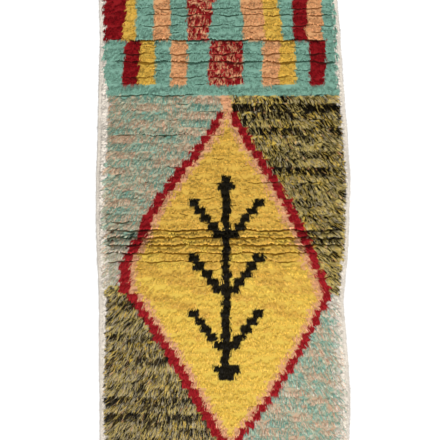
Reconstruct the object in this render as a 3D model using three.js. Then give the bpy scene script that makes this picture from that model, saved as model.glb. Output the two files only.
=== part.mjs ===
// A hand-knotted wool runner rug, lying flat.
//
// It is two solids: the thin woven ground, with a raised selvedge down each side and a flat-woven
// strip at each end, and the wool pile that is knotted into it, a low lumpy slab with loose locks
// round its rim. The pile lies towards -Y, in rows, and sinks along the creases between rows.
//
// Millimetres, +Z up, +Y towards the end with the banded border. The origin is under the middle of
// the rug, on the floor.

import * as THREE from "three";

// Driving sizes.
const LENGTH = 1710;
const ROW_PITCH = 25.35; // from one row of knots to the next
const ROWS_EACH_WAY = 33; // rows of pile from the middle of the rug to either end

// Woven ground.
const GROUND_THICKNESS = 2.4;
const SELVEDGE_HEIGHT = 4.0;
const SELVEDGE_WIDTH = 9;
const GROUND_STEP = 45; // along the rug

// Pile.
const SEAT_GAP = 0.3; // between the ground and the slab of pile
const PILE_BASE = GROUND_THICKNESS + SEAT_GAP;
const PILE_TOP = 13.2;
const PILE_LUMP = 1.2; // how far the crown of the pile rises and falls
const ROW_CREST = 0.8; // how far each row swells above its creases
const PLAIN_CREASE = 1.8; // depth between two rows that lie closed
const RIM_TOP = 8.6;
const RIM_ROUND = 16; // the pile rounds down to its rim over this width
const PILE_COLUMNS = 15; // across the rug, between the two rounded rims
const END_COLUMNS = 38; // across the two ends, one lock each at the lower end

// Locks of wool at the rim of the pile.
const LOCK_SHORTEST = 8;
const LOCK_SPREAD = 6; // the longest locks reach this much further
const LOCK_DROOP = 7; // a lock's tip leans this far down the rug
const LOCK_WAIST = 0.55; // where along the lock its middle section is
const LOCK_WAIST_WIDTH = 0.62; // how wide it still is there, as a share of its root
const LOCK_UNDERSIDE = 4.7; // clears the selvedge
const LOCK_WAIST_TOP = 7.4;
const LOCK_TIP = 5.6;

// The two long edges. left and right are the woven ground's edges; bare_left and bare_right are
// how wide the ground shows beside the slab of pile.
const EDGES = [
  { y: 855, left: -396, right: 361, bare_left: 17, bare_right: 15 },
  { y: 786, left: -396, right: 364, bare_left: 17, bare_right: 15 },
  { y: 658, left: -393, right: 374, bare_left: 17, bare_right: 16 },
  { y: 562, left: -396, right: 380, bare_left: 18, bare_right: 18 },
  { y: 466, left: -399, right: 388, bare_left: 36, bare_right: 21 },
  { y: 338, left: -401, right: 398, bare_left: 35, bare_right: 22 },
  { y: 210, left: -406, right: 406, bare_left: 35, bare_right: 18 },
  { y: 82, left: -406, right: 402, bare_left: 32, bare_right: 18 },
  { y: -14, left: -404, right: 399, bare_left: 29, bare_right: 17 },
  { y: -110, left: -399, right: 390, bare_left: 25, bare_right: 21 },
  { y: -174, left: -396, right: 383, bare_left: 27, bare_right: 22 },
  { y: -302, left: -396, right: 393, bare_left: 24, bare_right: 23 },
  { y: -398, left: -396, right: 401, bare_left: 20, bare_right: 22 },
  { y: -494, left: -394, right: 406, bare_left: 17, bare_right: 18 },
  { y: -622, left: -394, right: 402, bare_left: 19, bare_right: 18 },
  { y: -855, left: -396, right: 396, bare_left: 19, bare_right: 18 },
];

// The creases that stand open, by how many rows they lie above the middle of the rug. The group
// round the middle is where the rug was kept folded in half.
const CREASES = [
  { row: 30, from: -310, to: 370, depth: 2.6 },
  { row: 29, from: -270, to: 370, depth: 3.2 },
  { row: 27, from: -280, to: 380, depth: 2.2 },
  { row: 26, from: -330, to: 345, depth: 5.0 },
  { row: 24, from: -370, to: 385, depth: 2.6 },
  { row: 23, from: -370, to: 385, depth: 3.6 },
  { row: 21, from: -340, to: 280, depth: 2.4 },
  { row: 19, from: -370, to: -60, depth: 3.0 },
  { row: 14, from: -360, to: -75, depth: 3.0 },
  { row: 8, from: -60, to: 330, depth: 2.2 },
  { row: 3, from: -380, to: -260, depth: 3.4 },
  { row: 2, from: -400, to: 400, depth: 6.0 },
  { row: 1, from: -400, to: 400, depth: 6.0 },
  { row: 0, from: -400, to: 400, depth: 5.6 },
  { row: -1, from: -400, to: 300, depth: 4.2 },
  { row: -2, from: -390, to: 250, depth: 3.0 },
];
const CREASE_FADE = 45; // a crease closes over this length at its ends

// An uneven number from 0 to 1, the same for the same n each time.
const uneven = (n) => {
  const s = Math.sin(n * 12.9898) * 43758.5453;
  return s - Math.floor(s);
};

const ease = (t) => {
  const c = Math.min(1, Math.max(0, t));
  return c * c * (3 - 2 * c);
};

// A column of EDGES at any y, eased from one line of the table to the next.
function edge(column, y) {
  const below = EDGES.findIndex((e) => e.y <= y);
  const i = Math.max(1, below < 0 ? EDGES.length - 1 : below);
  const [high, low] = [EDGES[i - 1], EDGES[i]];
  const t = ease((high.y - y) / (high.y - low.y));
  return high[column] + t * (low[column] - high[column]);
}

const pileLeft = (y) => edge("left", y) + edge("bare_left", y);
const pileRight = (y) => edge("right", y) - edge("bare_right", y);

// How deep the crease on a row line is at x.
function creaseDepth(row, x) {
  const open = CREASES.find((c) => c.row === row);
  if (!open) return PLAIN_CREASE;
  const inside = Math.min(x - open.from, open.to - x);
  return PLAIN_CREASE + (open.depth - PLAIN_CREASE) * ease(inside / CREASE_FADE);
}

// The height of the pile's crown at x, on a row line (a crease) or half-way to the next (a crest).
function pileHeight(x, y, halfRow) {
  const lump =
    PILE_LUMP * (0.6 * Math.sin(x / 61 + y / 47) + 0.4 * Math.sin(y / 83 - x / 39 + 1.3));
  const isCrease = halfRow % 2 === 0;
  return PILE_TOP + lump + (isCrease ? -creaseDepth(halfRow / 2, x) : ROW_CREST);
}

// Joins two rows of points, each given as [index, place from 0 to 1], into triangles that face up
// when upper has the greater y and both run towards +X.
function zip(upper, lower, faces) {
  let i = 0;
  let j = 0;
  while (i < upper.length - 1 || j < lower.length - 1) {
    const nextUpper = i < upper.length - 1 ? upper[i + 1][1] : 2;
    const nextLower = j < lower.length - 1 ? lower[j + 1][1] : 2;
    if (nextUpper <= nextLower) {
      faces.push([upper[i][0], lower[j][0], upper[i + 1][0]]);
      i += 1;
    } else {
      faces.push([upper[i][0], lower[j][0], lower[j + 1][0]]);
      j += 1;
    }
  }
}

function meshOf(name, points, faces, material) {
  const geometry = new THREE.BufferGeometry();
  geometry.setAttribute("position", new THREE.Float32BufferAttribute(points.flat(), 3));
  geometry.setIndex(faces.flat());
  geometry.computeVertexNormals();
  const mesh = new THREE.Mesh(geometry, material);
  mesh.name = name;
  return mesh;
}

// The woven ground: one cross-section, with a raised selvedge at each edge, carried down the rug.
function groundWeave() {
  const half = SELVEDGE_WIDTH / 2;
  // From the left edge to the right along the top, then back along the floor.
  const sectionAt = (y) => {
    const [left, right] = [edge("left", y), edge("right", y)];
    return [
      [left, 0.45 * SELVEDGE_HEIGHT],
      [left + 0.4 * half, SELVEDGE_HEIGHT],
      [left + 1.3 * half, SELVEDGE_HEIGHT],
      [left + SELVEDGE_WIDTH, GROUND_THICKNESS],
      [right - SELVEDGE_WIDTH, GROUND_THICKNESS],
      [right - 1.3 * half, SELVEDGE_HEIGHT],
      [right - 0.4 * half, SELVEDGE_HEIGHT],
      [right, 0.45 * SELVEDGE_HEIGHT],
      [right - 0.4 * half, 0],
      [left + 0.4 * half, 0],
    ];
  };
  const steps = Math.round(LENGTH / GROUND_STEP);
  const points = [];
  const faces = [];
  const size = sectionAt(0).length;
  for (let s = 0; s <= steps; s += 1) {
    const y = LENGTH / 2 - (s * LENGTH) / steps;
    for (const [x, z] of sectionAt(y)) points.push([x, y, z]);
  }
  for (let s = 0; s < steps; s += 1) {
    for (let k = 0; k < size; k += 1) {
      const [a, b] = [s * size + k, s * size + ((k + 1) % size)];
      faces.push([a, a + size, b], [b, a + size, b + size]);
    }
  }
  // The two cut ends, as flat faces of the section. Its triangles face -Y as they come.
  const outline = sectionAt(LENGTH / 2).map(([x, z]) => new THREE.Vector2(x, z));
  const last = steps * size;
  for (const [a, b, c] of THREE.ShapeUtils.triangulateShape(outline, [])) {
    faces.push([c, b, a], [last + a, last + b, last + c]);
  }
  return meshOf(
    "ground_weave",
    points,
    faces,
    new THREE.MeshStandardMaterial({ color: 0xe3dbc9, roughness: 0.95, metalness: 0 }),
  );
}

// The pile: rows of points for its top, a flat underside, and a lock on each side of the rim.
function pile() {
  const points = [];
  const faces = [];
  const add = (x, y, z) => points.push([x, y, z]) - 1;

  // One row of points across the pile. Shares are places from 0 at the left rim to 1 at the right.
  const rowOf = (halfRow, columns) => {
    const y = (halfRow * ROW_PITCH) / 2;
    const [left, right] = [pileLeft(y), pileRight(y)];
    const round = RIM_ROUND / (right - left);
    const atEnd = Math.abs(halfRow) === 2 * ROWS_EACH_WAY;
    const shares = [0];
    for (let c = 0; c <= columns; c += 1) shares.push(round + ((1 - 2 * round) * c) / columns);
    shares.push(1);
    return shares.map((share) => {
      const x = left + share * (right - left);
      const isRim = share === 0 || share === 1 || atEnd;
      const z = isRim ? RIM_TOP - (halfRow % 2 === 0 ? 0.8 : 0) : pileHeight(x, y, halfRow);
      return [add(x, y, z), share];
    });
  };

  const rows = [];
  for (let h = 2 * ROWS_EACH_WAY; h >= -2 * ROWS_EACH_WAY; h -= 1) {
    const atEnd = Math.abs(h) === 2 * ROWS_EACH_WAY;
    rows.push(rowOf(h, atEnd ? END_COLUMNS : PILE_COLUMNS));
  }
  for (let r = 0; r < rows.length - 1; r += 1) zip(rows[r], rows[r + 1], faces);

  // The rim, once round: along the top end, down the right, back along the lower end, up the left.
  const topEnd = rows[0].map(([index]) => index);
  const lowEnd = rows[rows.length - 1].map(([index]) => index);
  const right = rows.map((row) => row[row.length - 1][0]);
  const left = rows.map((row) => row[0][0]);
  const rim = [
    ...topEnd.slice(0, -1).map((index) => ({ index, out: null })),
    ...right.slice(0, -1).map((index) => ({ index, out: [1, 0] })),
    ...lowEnd.slice(1).reverse().map((index) => ({ index, out: [0, -1] })),
    ...left.slice(1).reverse().map((index) => ({ index, out: [-1, 0] })),
  ];
  const foot = rim.map(({ index }) => add(points[index][0], points[index][1], PILE_BASE));

  // Each stretch of the rim's wall carries a lock, apart from the top end, where the roots are.
  rim.forEach(({ index: topA, out }, i) => {
    const j = (i + 1) % rim.length;
    const [topB, footA, footB] = [rim[j].index, foot[i], foot[j]];
    if (!out) {
      faces.push([topA, topB, footB], [topA, footB, footA]);
      return;
    }
    const middle = [0, 1].map((k) => (points[topA][k] + points[topB][k]) / 2);
    const reach = LOCK_SHORTEST + LOCK_SPREAD * uneven(i + 1);
    const place = (share, droop) => [
      middle[0] + out[0] * reach * share,
      middle[1] + out[1] * reach * share - droop * (1 - Math.abs(out[1])),
    ];
    const [wx, wy] = place(LOCK_WAIST, LOCK_DROOP * LOCK_WAIST * 0.8);
    const waist = (end, z) => {
      const along = [0, 1].map((k) => (points[end][k] - middle[k]) * LOCK_WAIST_WIDTH);
      return add(wx + along[0], wy + along[1], z);
    };
    const ring = [
      waist(topA, LOCK_WAIST_TOP),
      waist(topB, LOCK_WAIST_TOP),
      waist(topB, LOCK_UNDERSIDE),
      waist(topA, LOCK_UNDERSIDE),
    ];
    const [tx, ty] = place(1, LOCK_DROOP);
    const tip = add(tx, ty, LOCK_TIP);
    const root = [topA, topB, footB, footA];
    for (let k = 0; k < 4; k += 1) {
      const n = (k + 1) % 4;
      faces.push([root[k], root[n], ring[n]], [root[k], ring[n], ring[k]], [ring[k], ring[n], tip]);
    }
  });

  // The flat underside. Its triangles face up as they come, so each is turned over.
  const outline = foot.map((index) => new THREE.Vector2(points[index][0], points[index][1]));
  for (const [a, b, c] of THREE.ShapeUtils.triangulateShape(outline, [])) {
    faces.push([foot[c], foot[b], foot[a]]);
  }
  return meshOf(
    "pile",
    points,
    faces,
    new THREE.MeshStandardMaterial({ color: 0xcfa54c, roughness: 1, metalness: 0 }),
  );
}

const rug = new THREE.Group();
rug.add(groundWeave(), pile());

export default rug;
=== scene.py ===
"""A hand-knotted wool runner rug, lying flat and seen from straight above.

The woven ground is a sheet of cloth with the knots' backs showing underneath. The pile is locks of
wool: one lock is modelled, and its copies are laid in rows on a felted bed, each with the dye that
the rug's chart gives for its place. Places are metres in the rug's own frame, and tables are in
millimetres. +Y runs towards the end with the border of blocks, and the pile lies towards -Y.
"""

import math

import bpy
import numpy as np
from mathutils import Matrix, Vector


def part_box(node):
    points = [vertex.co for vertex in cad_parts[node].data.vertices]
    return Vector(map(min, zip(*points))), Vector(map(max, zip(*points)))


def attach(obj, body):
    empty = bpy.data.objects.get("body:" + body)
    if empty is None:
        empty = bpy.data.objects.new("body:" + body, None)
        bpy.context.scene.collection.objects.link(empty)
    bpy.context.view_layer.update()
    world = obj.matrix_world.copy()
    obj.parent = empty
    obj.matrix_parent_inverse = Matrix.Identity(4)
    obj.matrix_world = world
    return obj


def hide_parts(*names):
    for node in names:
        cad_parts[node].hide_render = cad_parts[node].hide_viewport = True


bl_info = {
    "name": "Knotted Runner Rug",
    "version": (1, 0, 0),
    "blender": (4, 5, 0),
    "location": "3D View > Sidebar > Rug",
    "description": "Dresses a runner rug in woven ground, selvedges and knotted wool pile",
    "category": "Object",
}

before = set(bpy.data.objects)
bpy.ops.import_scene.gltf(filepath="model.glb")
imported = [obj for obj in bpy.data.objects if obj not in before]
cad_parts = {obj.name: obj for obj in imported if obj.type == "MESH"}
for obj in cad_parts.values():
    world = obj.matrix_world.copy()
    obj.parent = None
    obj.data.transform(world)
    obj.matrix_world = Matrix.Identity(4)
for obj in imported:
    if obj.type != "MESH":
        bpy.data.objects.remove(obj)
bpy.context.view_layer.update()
GROUND_LOW, GROUND_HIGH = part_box("ground_weave")
PILE_LOW, PILE_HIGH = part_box("pile")

MM = 0.001

# The weave
LENGTH = GROUND_HIGH.y - GROUND_LOW.y
GROUND_THICKNESS = 2.4 * MM
SELVEDGE_HEIGHT = GROUND_HIGH.z
SELVEDGE_WIDTH = 9 * MM
ROW_PITCH = 25.35 * MM
ROWS_EACH_WAY = 33
CLOTH_COLUMNS = 64
# The cloth's outer columns: how far in from its edge each is, and how high
COLUMN_INSETS = np.array([0, 1.6, 5, 8, 12]) * MM
COLUMN_HEIGHTS = [0.5 * SELVEDGE_HEIGHT, *[0.92 * SELVEDGE_HEIGHT] * 2, *[GROUND_THICKNESS] * 2]
# Rows that were beaten closer or looser: how far the line at a row's foot is off its place, in mm
ROW_SHIFTS = {
    29: 5, 28: -5, 25: 4, 24: 7, 23: 6.5, 22: 7, 21: 8, 20: 11, 2: -1.5, 1: 1.5, 0: 3, -1: 2
}
LINE_WANDER = 6 * MM  # how far the line between two rows wanders

# The selvedges
HAIRS = 6500  # at each side
WEFT_FLATNESS = 0.42  # the height of a packed turn of weft, as a share of its width
EDGE_LOCKS = 1200  # at each side
EDGE_LOCK_WIDTH = 3.6 * MM
EDGE_LOCK_HEIGHT = 3.4 * MM

# How the pile lies
PILE_FOOT = PILE_LOW.z
END_REACH = 850 * MM  # the pile's last locks end this far from the middle
RIM_ROUND = 16 * MM  # how far in from its rim the pile begins to round down
RIM_LOW = 0.6  # the pile's height at its rim, as a share of its height inside
RIM_DROOP = 14 * MM  # how far past its rim it droops
DROOP_SHARE = 0.25  # and how much lower it gets there, as a share of its height
LUMP = 1.2 * MM  # how far the slow lumps rise and sink
FAN = math.radians(50)  # the pile's lean out to the sides, at the two long edges
FAN_POWER = 1.4
# The lean in the border and in three of the fields, as a share of that
BORDER_FAN, UPPER_LEFT_FAN, LOWER_RIGHT_FAN, LOWER_LEFT_FAN = 0.45, 0.75, 0.65, 0.82
UPPER_RIGHT_LEAN = math.radians(18)
# The outermost locks: those of the border hardly lean, and those of the fields lean out further
BORDER_RIM_FROM, BORDER_RIM_SHARE = 0.97, 0.3
RIM_FROM, RIM_LEAN = 0.92, math.radians(12)
# Each tuft's own lean, a slow sway from side to side, and the few tufts that lie astray
UNEVEN_LEAN, SWAY_LEAN = math.radians(8), math.radians(7)
STRAYS, STRAY_LEAN = 0.04, math.radians(18)
SHORTEST_LOCK = 12 * MM
LEAST_ROOM = 9 * MM  # how far a lock may reach out to the side at least
BED_COLUMNS = 110
# The bed's lines of points in each row: how far on from the row's foot, and how much of the depth
# of the crease there each one takes. The last lies just below the foot.
BED_LINES = np.array([(0, 1), (3 * MM, 0.3), (0.5 * ROW_PITCH, 0), (-3 * MM, 0.3)])
BED_HEIGHT = 8.3 * MM  # the felted mass that the locks lie on, where the pile is one colour
OPEN_BED_HEIGHT = 6.8 * MM  # and in the four fields, where the locks lie loose
BED_CROWN = 0.8  # how much of the pile's swelling the bed follows
MINGLE = 4.5 * MM  # how far locks stray over the border between two dyes
ROW_SWELL = 2.5 * MM  # how far that border swings to and fro within a row

# How the creases between the rows stand open
CREASE_FADE = 45 * MM
FULL_CREASE = 4 * MM  # a crease this deep stops every lock at its line
TUCK = 0.85  # how much of what reaches past that line is turned down into the crease
LIP_SHARE = 0.5  # how far a row swells above the open crease at its foot, as a share of its depth
BELOW_SHARE = 0.75  # how far the row below starts sunk
RECOVERY = 11 * MM  # and the distance in which it rises again
WISP = 3.0 * MM  # depth of the short creases that come and go along every row
WISP_FROM, WISP_RISE = 0.2, 0.5  # the wave's height where they begin, and how much more is full
WISP_ROWS = (-12, 0)  # they fade out downwards between these rows
# The painted shade in and below an open crease, and the painted light on the lip above it:
SHADE_UNDER = 1.2  # how far below an open crease its darkness reaches, as a share of its depth
SHADE_OVER = 0.2  # how far above it
SOFT_SHADE = 2.6  # how far below it its half shade reaches
LIT_LIP = 0.9  # how far above it the row's lip is lit

# The camera looks straight down at the middle of the photograph's frame
FRAME_MIDDLE = (-10.4 * MM, 81.6 * MM)
SENSOR = 36  # mm

# Locks to a tuft: finer yarn in the marled and the flecked fields
LOCKS = 3
FIELD_LOCKS = {
    "upper_left_field": 4,
    "lower_right_field": 4,
    "upper_right_field": 5,
    "lower_left_field": 5,
}

# The creases that stand open: rows above the middle of the rug, from and to across it, and depth
CREASES = [
    (30, -310, 370, 2.6), (29, -270, 370, 3.2), (28, -280, 380, 2.6), (26, -330, 345, 5.0),
    (24, -370, 385, 2.6), (23, -370, 385, 3.6), (21, -340, 280, 2.4), (19, -370, -60, 3.0),
    (14, -360, -75, 3.0), (8, -60, 330, 2.2), (3, -380, -260, 3.4), (2, -400, 400, 6.0),
    (1, -400, 400, 6.0), (0, -400, 400, 5.6), (-1, -400, 300, 4.2), (-2, -390, 250, 3.0),
]

# The border's blocks by their rows: each bar's dye, and its right edge at its head and at its foot
BLOCKS = {
    (26, 31): [
        ("red", -305, -324), ("gold", -279, -282), ("teal", -218, -225), ("apricot", -170, -170),
        ("teal", -116, -113), ("marl", -26, -49), ("teal", 54, 66), ("apricot", 124, 134),
        ("gold", 172, 191), ("teal", 223, 223), ("red", 271, 265), ("apricot", 316, 316),
        ("teal", 500, 500),
    ],
    (20, 25): [
        ("teal", -314, -327), ("red", -263, -276), ("gold", -218, -218), ("teal", -167, -170),
        ("apricot", -116, -116), ("teal", -42, -49), ("marl", 63, 63), ("teal", 127, 124),
        ("apricot", 185, 175), ("gold", 230, 233), ("teal", 274, 278), ("red", 329, 325),
        ("teal", 500, 500),
    ],
}

# The fields and the lozenge on them
LOWEST_FIELD_ROW, TOP_FIELD_ROW = -27, 18
TIP_ROW = 17  # from this row up, only the lining's spike shows
LEFT_CORNER_ROW, RIGHT_CORNER_ROW = -6, -7  # the fields beside the lozenge change here
# The middle of the lozenge's red outline at each side, and the outline's half width there
LOZENGE = [
    # y, left, right, half width left, half width right
    (427, -7, 31, 9, 10),
    (386, -26, 50, 14, 13),
    (306, -84, 100, 15, 14),
    (226, -145, 152, 17, 15),
    (155, -202, 195, 16, 16),
    (82, -244, 234, 17, 16),
    (27, -266, 260, 16, 15),
    (-46, -308, 291, 15, 14),
    (-78, -318, 304, 16, 13),
    (-152, -314, 336, 16, 12),
    (-171, -282, 330, 16, 11),
    (-238, -241, 296, 15, 11),
    (-344, -170, 242, 15, 12),
    (-472, -97, 161, 15, 12),
    (-606, -17, 60, 15, 12),
    (-654, 22, 22, 16, 16),
]
OUTLINE_SPREAD = 1.5  # how much wider the outline's locks lie than it is knotted, at each side
LINING_WIDTH = 19
LINING_MINGLE = 24  # how ragged its inner side is
SPIKE_MIDDLE = 10
SPIKE_HALF_WIDTH = 17

# The tree on the lozenge: a stem with pairs of raised arms, by rows
TREE_X = 9
TREE_ROWS = (-17, 6)
TREE_STEM_HALF = 14
TREE_ARM_FEET = (-13, -6, 1)
TREE_ARM_ROWS = 4
TREE_ARM_STEP = 20
TREE_ARM_HALF = 18
# Its foot and its head: the lowest row of each, and its half widths row by row upwards
TREE_ENDS = [(TREE_ROWS[0], (26, 42)), (TREE_ROWS[1], (14, 28, 14))]

# How much of each selvedge the pile covers, by rows from the lower end up
LEFT_COVER = [
    (-33, 0.3), (-7, 0.25), (-5, 0.7), (9, 0.7), (12, 0.15), (19, 0.1), (20, 0.8), (33, 0.8)
]
RIGHT_COVER = [(-33, 0.7), (-8, 0.7), (-6, 0.45), (19, 0.35), (20, 0.6), (33, 0.6)]

# Rows where the dark yarn of a marled field gathers
DARK_ROWS = {
    17: 0.75, 16: 0.6, 14: 0.65, 11: 0.6, 9: 0.62,
    -8: 0.62, -12: 0.55, -15: 0.6, -20: 0.65, -22: 0.68,
}
USUAL_DARK = 0.44


def linear(hex_colour):
    """An sRGB hex colour as linear red, green and blue."""
    channels = [int(hex_colour[i : i + 2], 16) / 255 for i in (1, 3, 5)]
    return tuple(c / 12.92 if c <= 0.04045 else ((c + 0.055) / 1.055) ** 2.4 for c in channels)


def dye_property(name, description, hex_colour):
    """A colour that a user may change."""
    return bpy.props.FloatVectorProperty(
        name=name,
        description=description,
        default=linear(hex_colour),
        subtype="COLOR",
        size=3,
        min=0,
        max=1,
    )


def length_property(name, description, default):
    """A length that a user may change, in metres."""
    return bpy.props.FloatProperty(
        name=name, description=description, default=default, min=0, unit="LENGTH", precision=4
    )


class RugSizes(bpy.types.PropertyGroup):
    """Sizes of the yarn and the weave"""

    tuft_pitch: length_property("Tuft Pitch", "From one tuft to the next along a row", 4 * MM)
    lock_length: length_property("Lock Length", "Length of a lock of pile", 26 * MM)
    lock_width: length_property("Lock Width", "Width of a lock of pile", 4 * MM)
    lock_height: length_property("Lock Height", "Height of a lock above its root", 9.6 * MM)
    weft_pitch: length_property("Weft Pitch", "From one turn of weft to the next", 5 * MM)
    hair_length: length_property("Hair Length", "Length of the selvedges' loose hairs", 13 * MM)


class RugDyes(bpy.types.PropertyGroup):
    """Colours of the wool"""

    red: dye_property("Red", "Madder red of the outline and the blocks", "#8e141b")
    rose: dye_property("Rose", "Faded madder in the marled blocks", "#b43f38")
    teal: dye_property("Teal", "Washed-out blue-green of the border and two fields", "#82ac9a")
    gold: dye_property("Gold", "Weld yellow of the lozenge", "#dcb450")
    apricot: dye_property("Apricot", "Apricot of the bars and of a few flecks", "#dea674")
    salmon: dye_property("Salmon", "Salmon pink of the lozenge's lining", "#dca67c")
    black: dye_property("Black", "Natural black-brown wool of the tree and the marl", "#1b170d")
    olive: dye_property("Olive", "Khaki of the marled fields", "#bfab63")
    straw: dye_property("Straw", "Brighter yellow, towards the lozenge's lower point", "#e5c356")
    umber: dye_property("Umber", "Dark brown wool, in the marled fields", "#5c4b2a")
    taupe: dye_property("Taupe", "Grey-brown wool, in the marled fields", "#b5a888")
    peach: dye_property("Peach", "Faded apricot, in the flecked fields", "#d2b093")
    sage: dye_property("Sage", "Teal and apricot spun together, in the flecked fields", "#b9baa0")
    undyed: dye_property("Undyed", "Ivory wool of the woven ground", "#dcd3c6")


class StudioSettings(bpy.types.PropertyGroup):
    """The camera and the lights"""

    camera_height: length_property("Camera Height", "Height of the camera above the pile", 4.0)
    seen_width: length_property("Seen Width", "Width of floor that the camera sees", 1.408)
    sky: bpy.props.FloatProperty(
        name="Sky", description="Strength of the even light", default=0.98, min=0
    )
    key: bpy.props.FloatProperty(
        name="Key", description="Strength of the soft lamp", default=1.85, min=0
    )


# Shared helpers


def ease(t):
    """0 to 1, smoothly, as t goes from 0 to 1."""
    c = np.clip(t, 0, 1)
    return c * c * (3 - 2 * c)


def side_edges(node, height=None):
    """The left and right edges of a solid: places along the rug, and the two x at each."""
    points = np.array([v.co[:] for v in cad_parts[node].data.vertices])
    if height is not None:
        points = points[np.abs(points[:, 2] - height) < 0.1 * MM]
    along = np.round(points[:, 1], 4)
    places = np.unique(along)
    left = np.array([points[along == y, 0].min() for y in places])
    right = np.array([points[along == y, 0].max() for y in places])
    return places, left, right


GROUND_EDGES = side_edges("ground_weave")
PILE_EDGES = side_edges("pile", PILE_FOOT)


def edges_at(edges, y):
    """The left and right edge at y."""
    places, left, right = edges
    return np.interp(y, places, left), np.interp(y, places, right)


def side_at(edges, y, outward):
    """One edge at y: the left where outward is -1, and the right where it is 1."""
    return edges_at(edges, y)[outward > 0]


def wander(row, x):
    """An uneven wave along a row, from -1 to 1, of its own on every row."""
    slow = np.sin(x / (23 * MM) + 2.3 * row)
    middling = np.sin(x / (11 * MM) + 1.7 * row * row)
    quick = np.sin(x / (4.7 * MM) + 1.1 * row * row)
    quickest = np.sin(x / (2.2 * MM) + 2.9 * row * row)
    return 0.48 * slow + 0.26 * middling + 0.16 * quick + 0.1 * quickest


def row_shift(row):
    """How far the line at the foot of a row stands off its even place."""
    rows = np.arange(-ROWS_EACH_WAY - 1, ROWS_EACH_WAY + 2)
    return np.interp(row, rows, [ROW_SHIFTS.get(r, 0) * MM for r in rows])


def row_line(row, x):
    """Where the line at the foot of a row of knots runs at x: it wanders a little."""
    return row * ROW_PITCH + row_shift(row) + LINE_WANDER * wander(row, x)


def open_depth(row, x):
    """How deep the crease at the foot of a row stands open at x."""
    depth = np.zeros(np.broadcast(row, x).shape)
    for crease_row, start, end, deep in CREASES:
        inside = ease(np.minimum(x - start * MM, end * MM - x) / CREASE_FADE)
        depth = np.where(row == crease_row, deep * MM * inside, depth)
    wisp = WISP * ease((wander(3.7 * row + 1, 0.6 * x) - WISP_FROM) / WISP_RISE)
    wisp = wisp * ease((row - WISP_ROWS[0]) / (WISP_ROWS[1] - WISP_ROWS[0]))
    return np.maximum(depth * (1.3 + 0.4 * wander(row + 9.3, x)), wisp)


def crown(x, y, row):
    """How far the surface of the pile stands above its usual height."""
    long_wave = np.sin(x / (61 * MM) + y / (47 * MM))
    short_wave = np.sin(y / (83 * MM) - x / (39 * MM) + 1.3)
    down_row = np.clip((row_line(row + 1, x) - y) / ROW_PITCH, 0, 1)
    lumps = LUMP * (0.6 * long_wave + 0.4 * short_wave)
    return lumps + LIP_SHARE * open_depth(row, x) * down_row**2


def rim_share(x, y):
    """The pile's height as a share of its full height: lower where it rounds down to its rim."""
    left, right = edges_at(PILE_EDGES, y)
    inset = np.minimum(x - left, right - x)
    t = np.clip(inset / RIM_ROUND, 0, 1)
    droop = np.clip(-inset / RIM_DROOP, 0, 1)
    return RIM_LOW + (1 - RIM_LOW) * np.sqrt(t * (2 - t)) - DROOP_SHARE * droop


def make_active(piece):
    """Selects one object and nothing else."""
    if bpy.context.mode != "OBJECT":
        bpy.ops.object.mode_set(mode="OBJECT")
    bpy.ops.object.select_all(action="DESELECT")
    piece.select_set(True)
    bpy.context.view_layer.objects.active = piece


def newest(name):
    """The primitive that was just added, selected alone and under its own name."""
    piece = bpy.context.active_object
    make_active(piece)
    piece.name = piece.data.name = name
    return piece


def start_editing(action="SELECT"):
    """Enters edit mode, with everything selected or, by DESELECT, nothing."""
    bpy.ops.object.mode_set(mode="EDIT")
    bpy.ops.mesh.select_all(action=action)


def extrude(move):
    """Extrudes the selected faces, and moves the new ones on."""
    bpy.ops.mesh.extrude_region_move(TRANSFORM_OT_translate={"value": move})


def turn_outwards(piece, unwrap=False):
    """Turns a piece's faces outwards, and unwraps them if asked."""
    make_active(piece)
    start_editing()
    bpy.ops.mesh.normals_make_consistent(inside=False)
    if unwrap:
        bpy.ops.uv.smart_project(angle_limit=math.radians(75), island_margin=0.04)
    bpy.ops.object.mode_set(mode="OBJECT")


def read_points(mesh):
    """A mesh's points as rows of x, y and z."""
    flat = np.empty(len(mesh.vertices) * 3)
    mesh.vertices.foreach_get("co", flat)
    return flat.reshape(-1, 3)


def write_points(mesh, points):
    """Puts a mesh's points in their places."""
    mesh.vertices.foreach_set("co", np.ascontiguousarray(points, np.float32).ravel())
    mesh.update()


def put_attribute(mesh, name, kind, values):
    """Writes one value, or one colour, to each point of a mesh."""
    layer = mesh.attributes.new(name, kind, "POINT")
    key = "color" if kind == "FLOAT_COLOR" else "value"
    layer.data.foreach_set(key, np.ascontiguousarray(values, np.float32).ravel())


def belongs(piece, node):
    """Makes a finished piece ride with the rug, in place of a solid, which it hides."""
    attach(piece, "root")
    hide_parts(node)


# Materials

TIMES = {"data_type": "RGBA", "blend_type": "MULTIPLY"}


def add_node(tree, kind, inputs=None, **settings):
    """Adds a node. inputs maps a socket to a value, or to the output that drives it.

    A node given as an input stands for its first output."""
    made = tree.nodes.new(f"ShaderNode{kind}")
    for key, value in settings.items():
        setattr(made, key, value)
    for key, value in (inputs or {}).items():
        if isinstance(value, bpy.types.Node):
            value = next(output for output in value.outputs if output.enabled)
        if isinstance(value, bpy.types.NodeSocket):
            tree.links.new(value, made.inputs[key])
        else:
            made.inputs[key].default_value = value
    return made


def new_material(name):
    """A material with an empty node tree."""
    material = bpy.data.materials.new(name)
    material.use_nodes = True
    material.node_tree.nodes.clear()
    return material, material.node_tree


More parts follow.
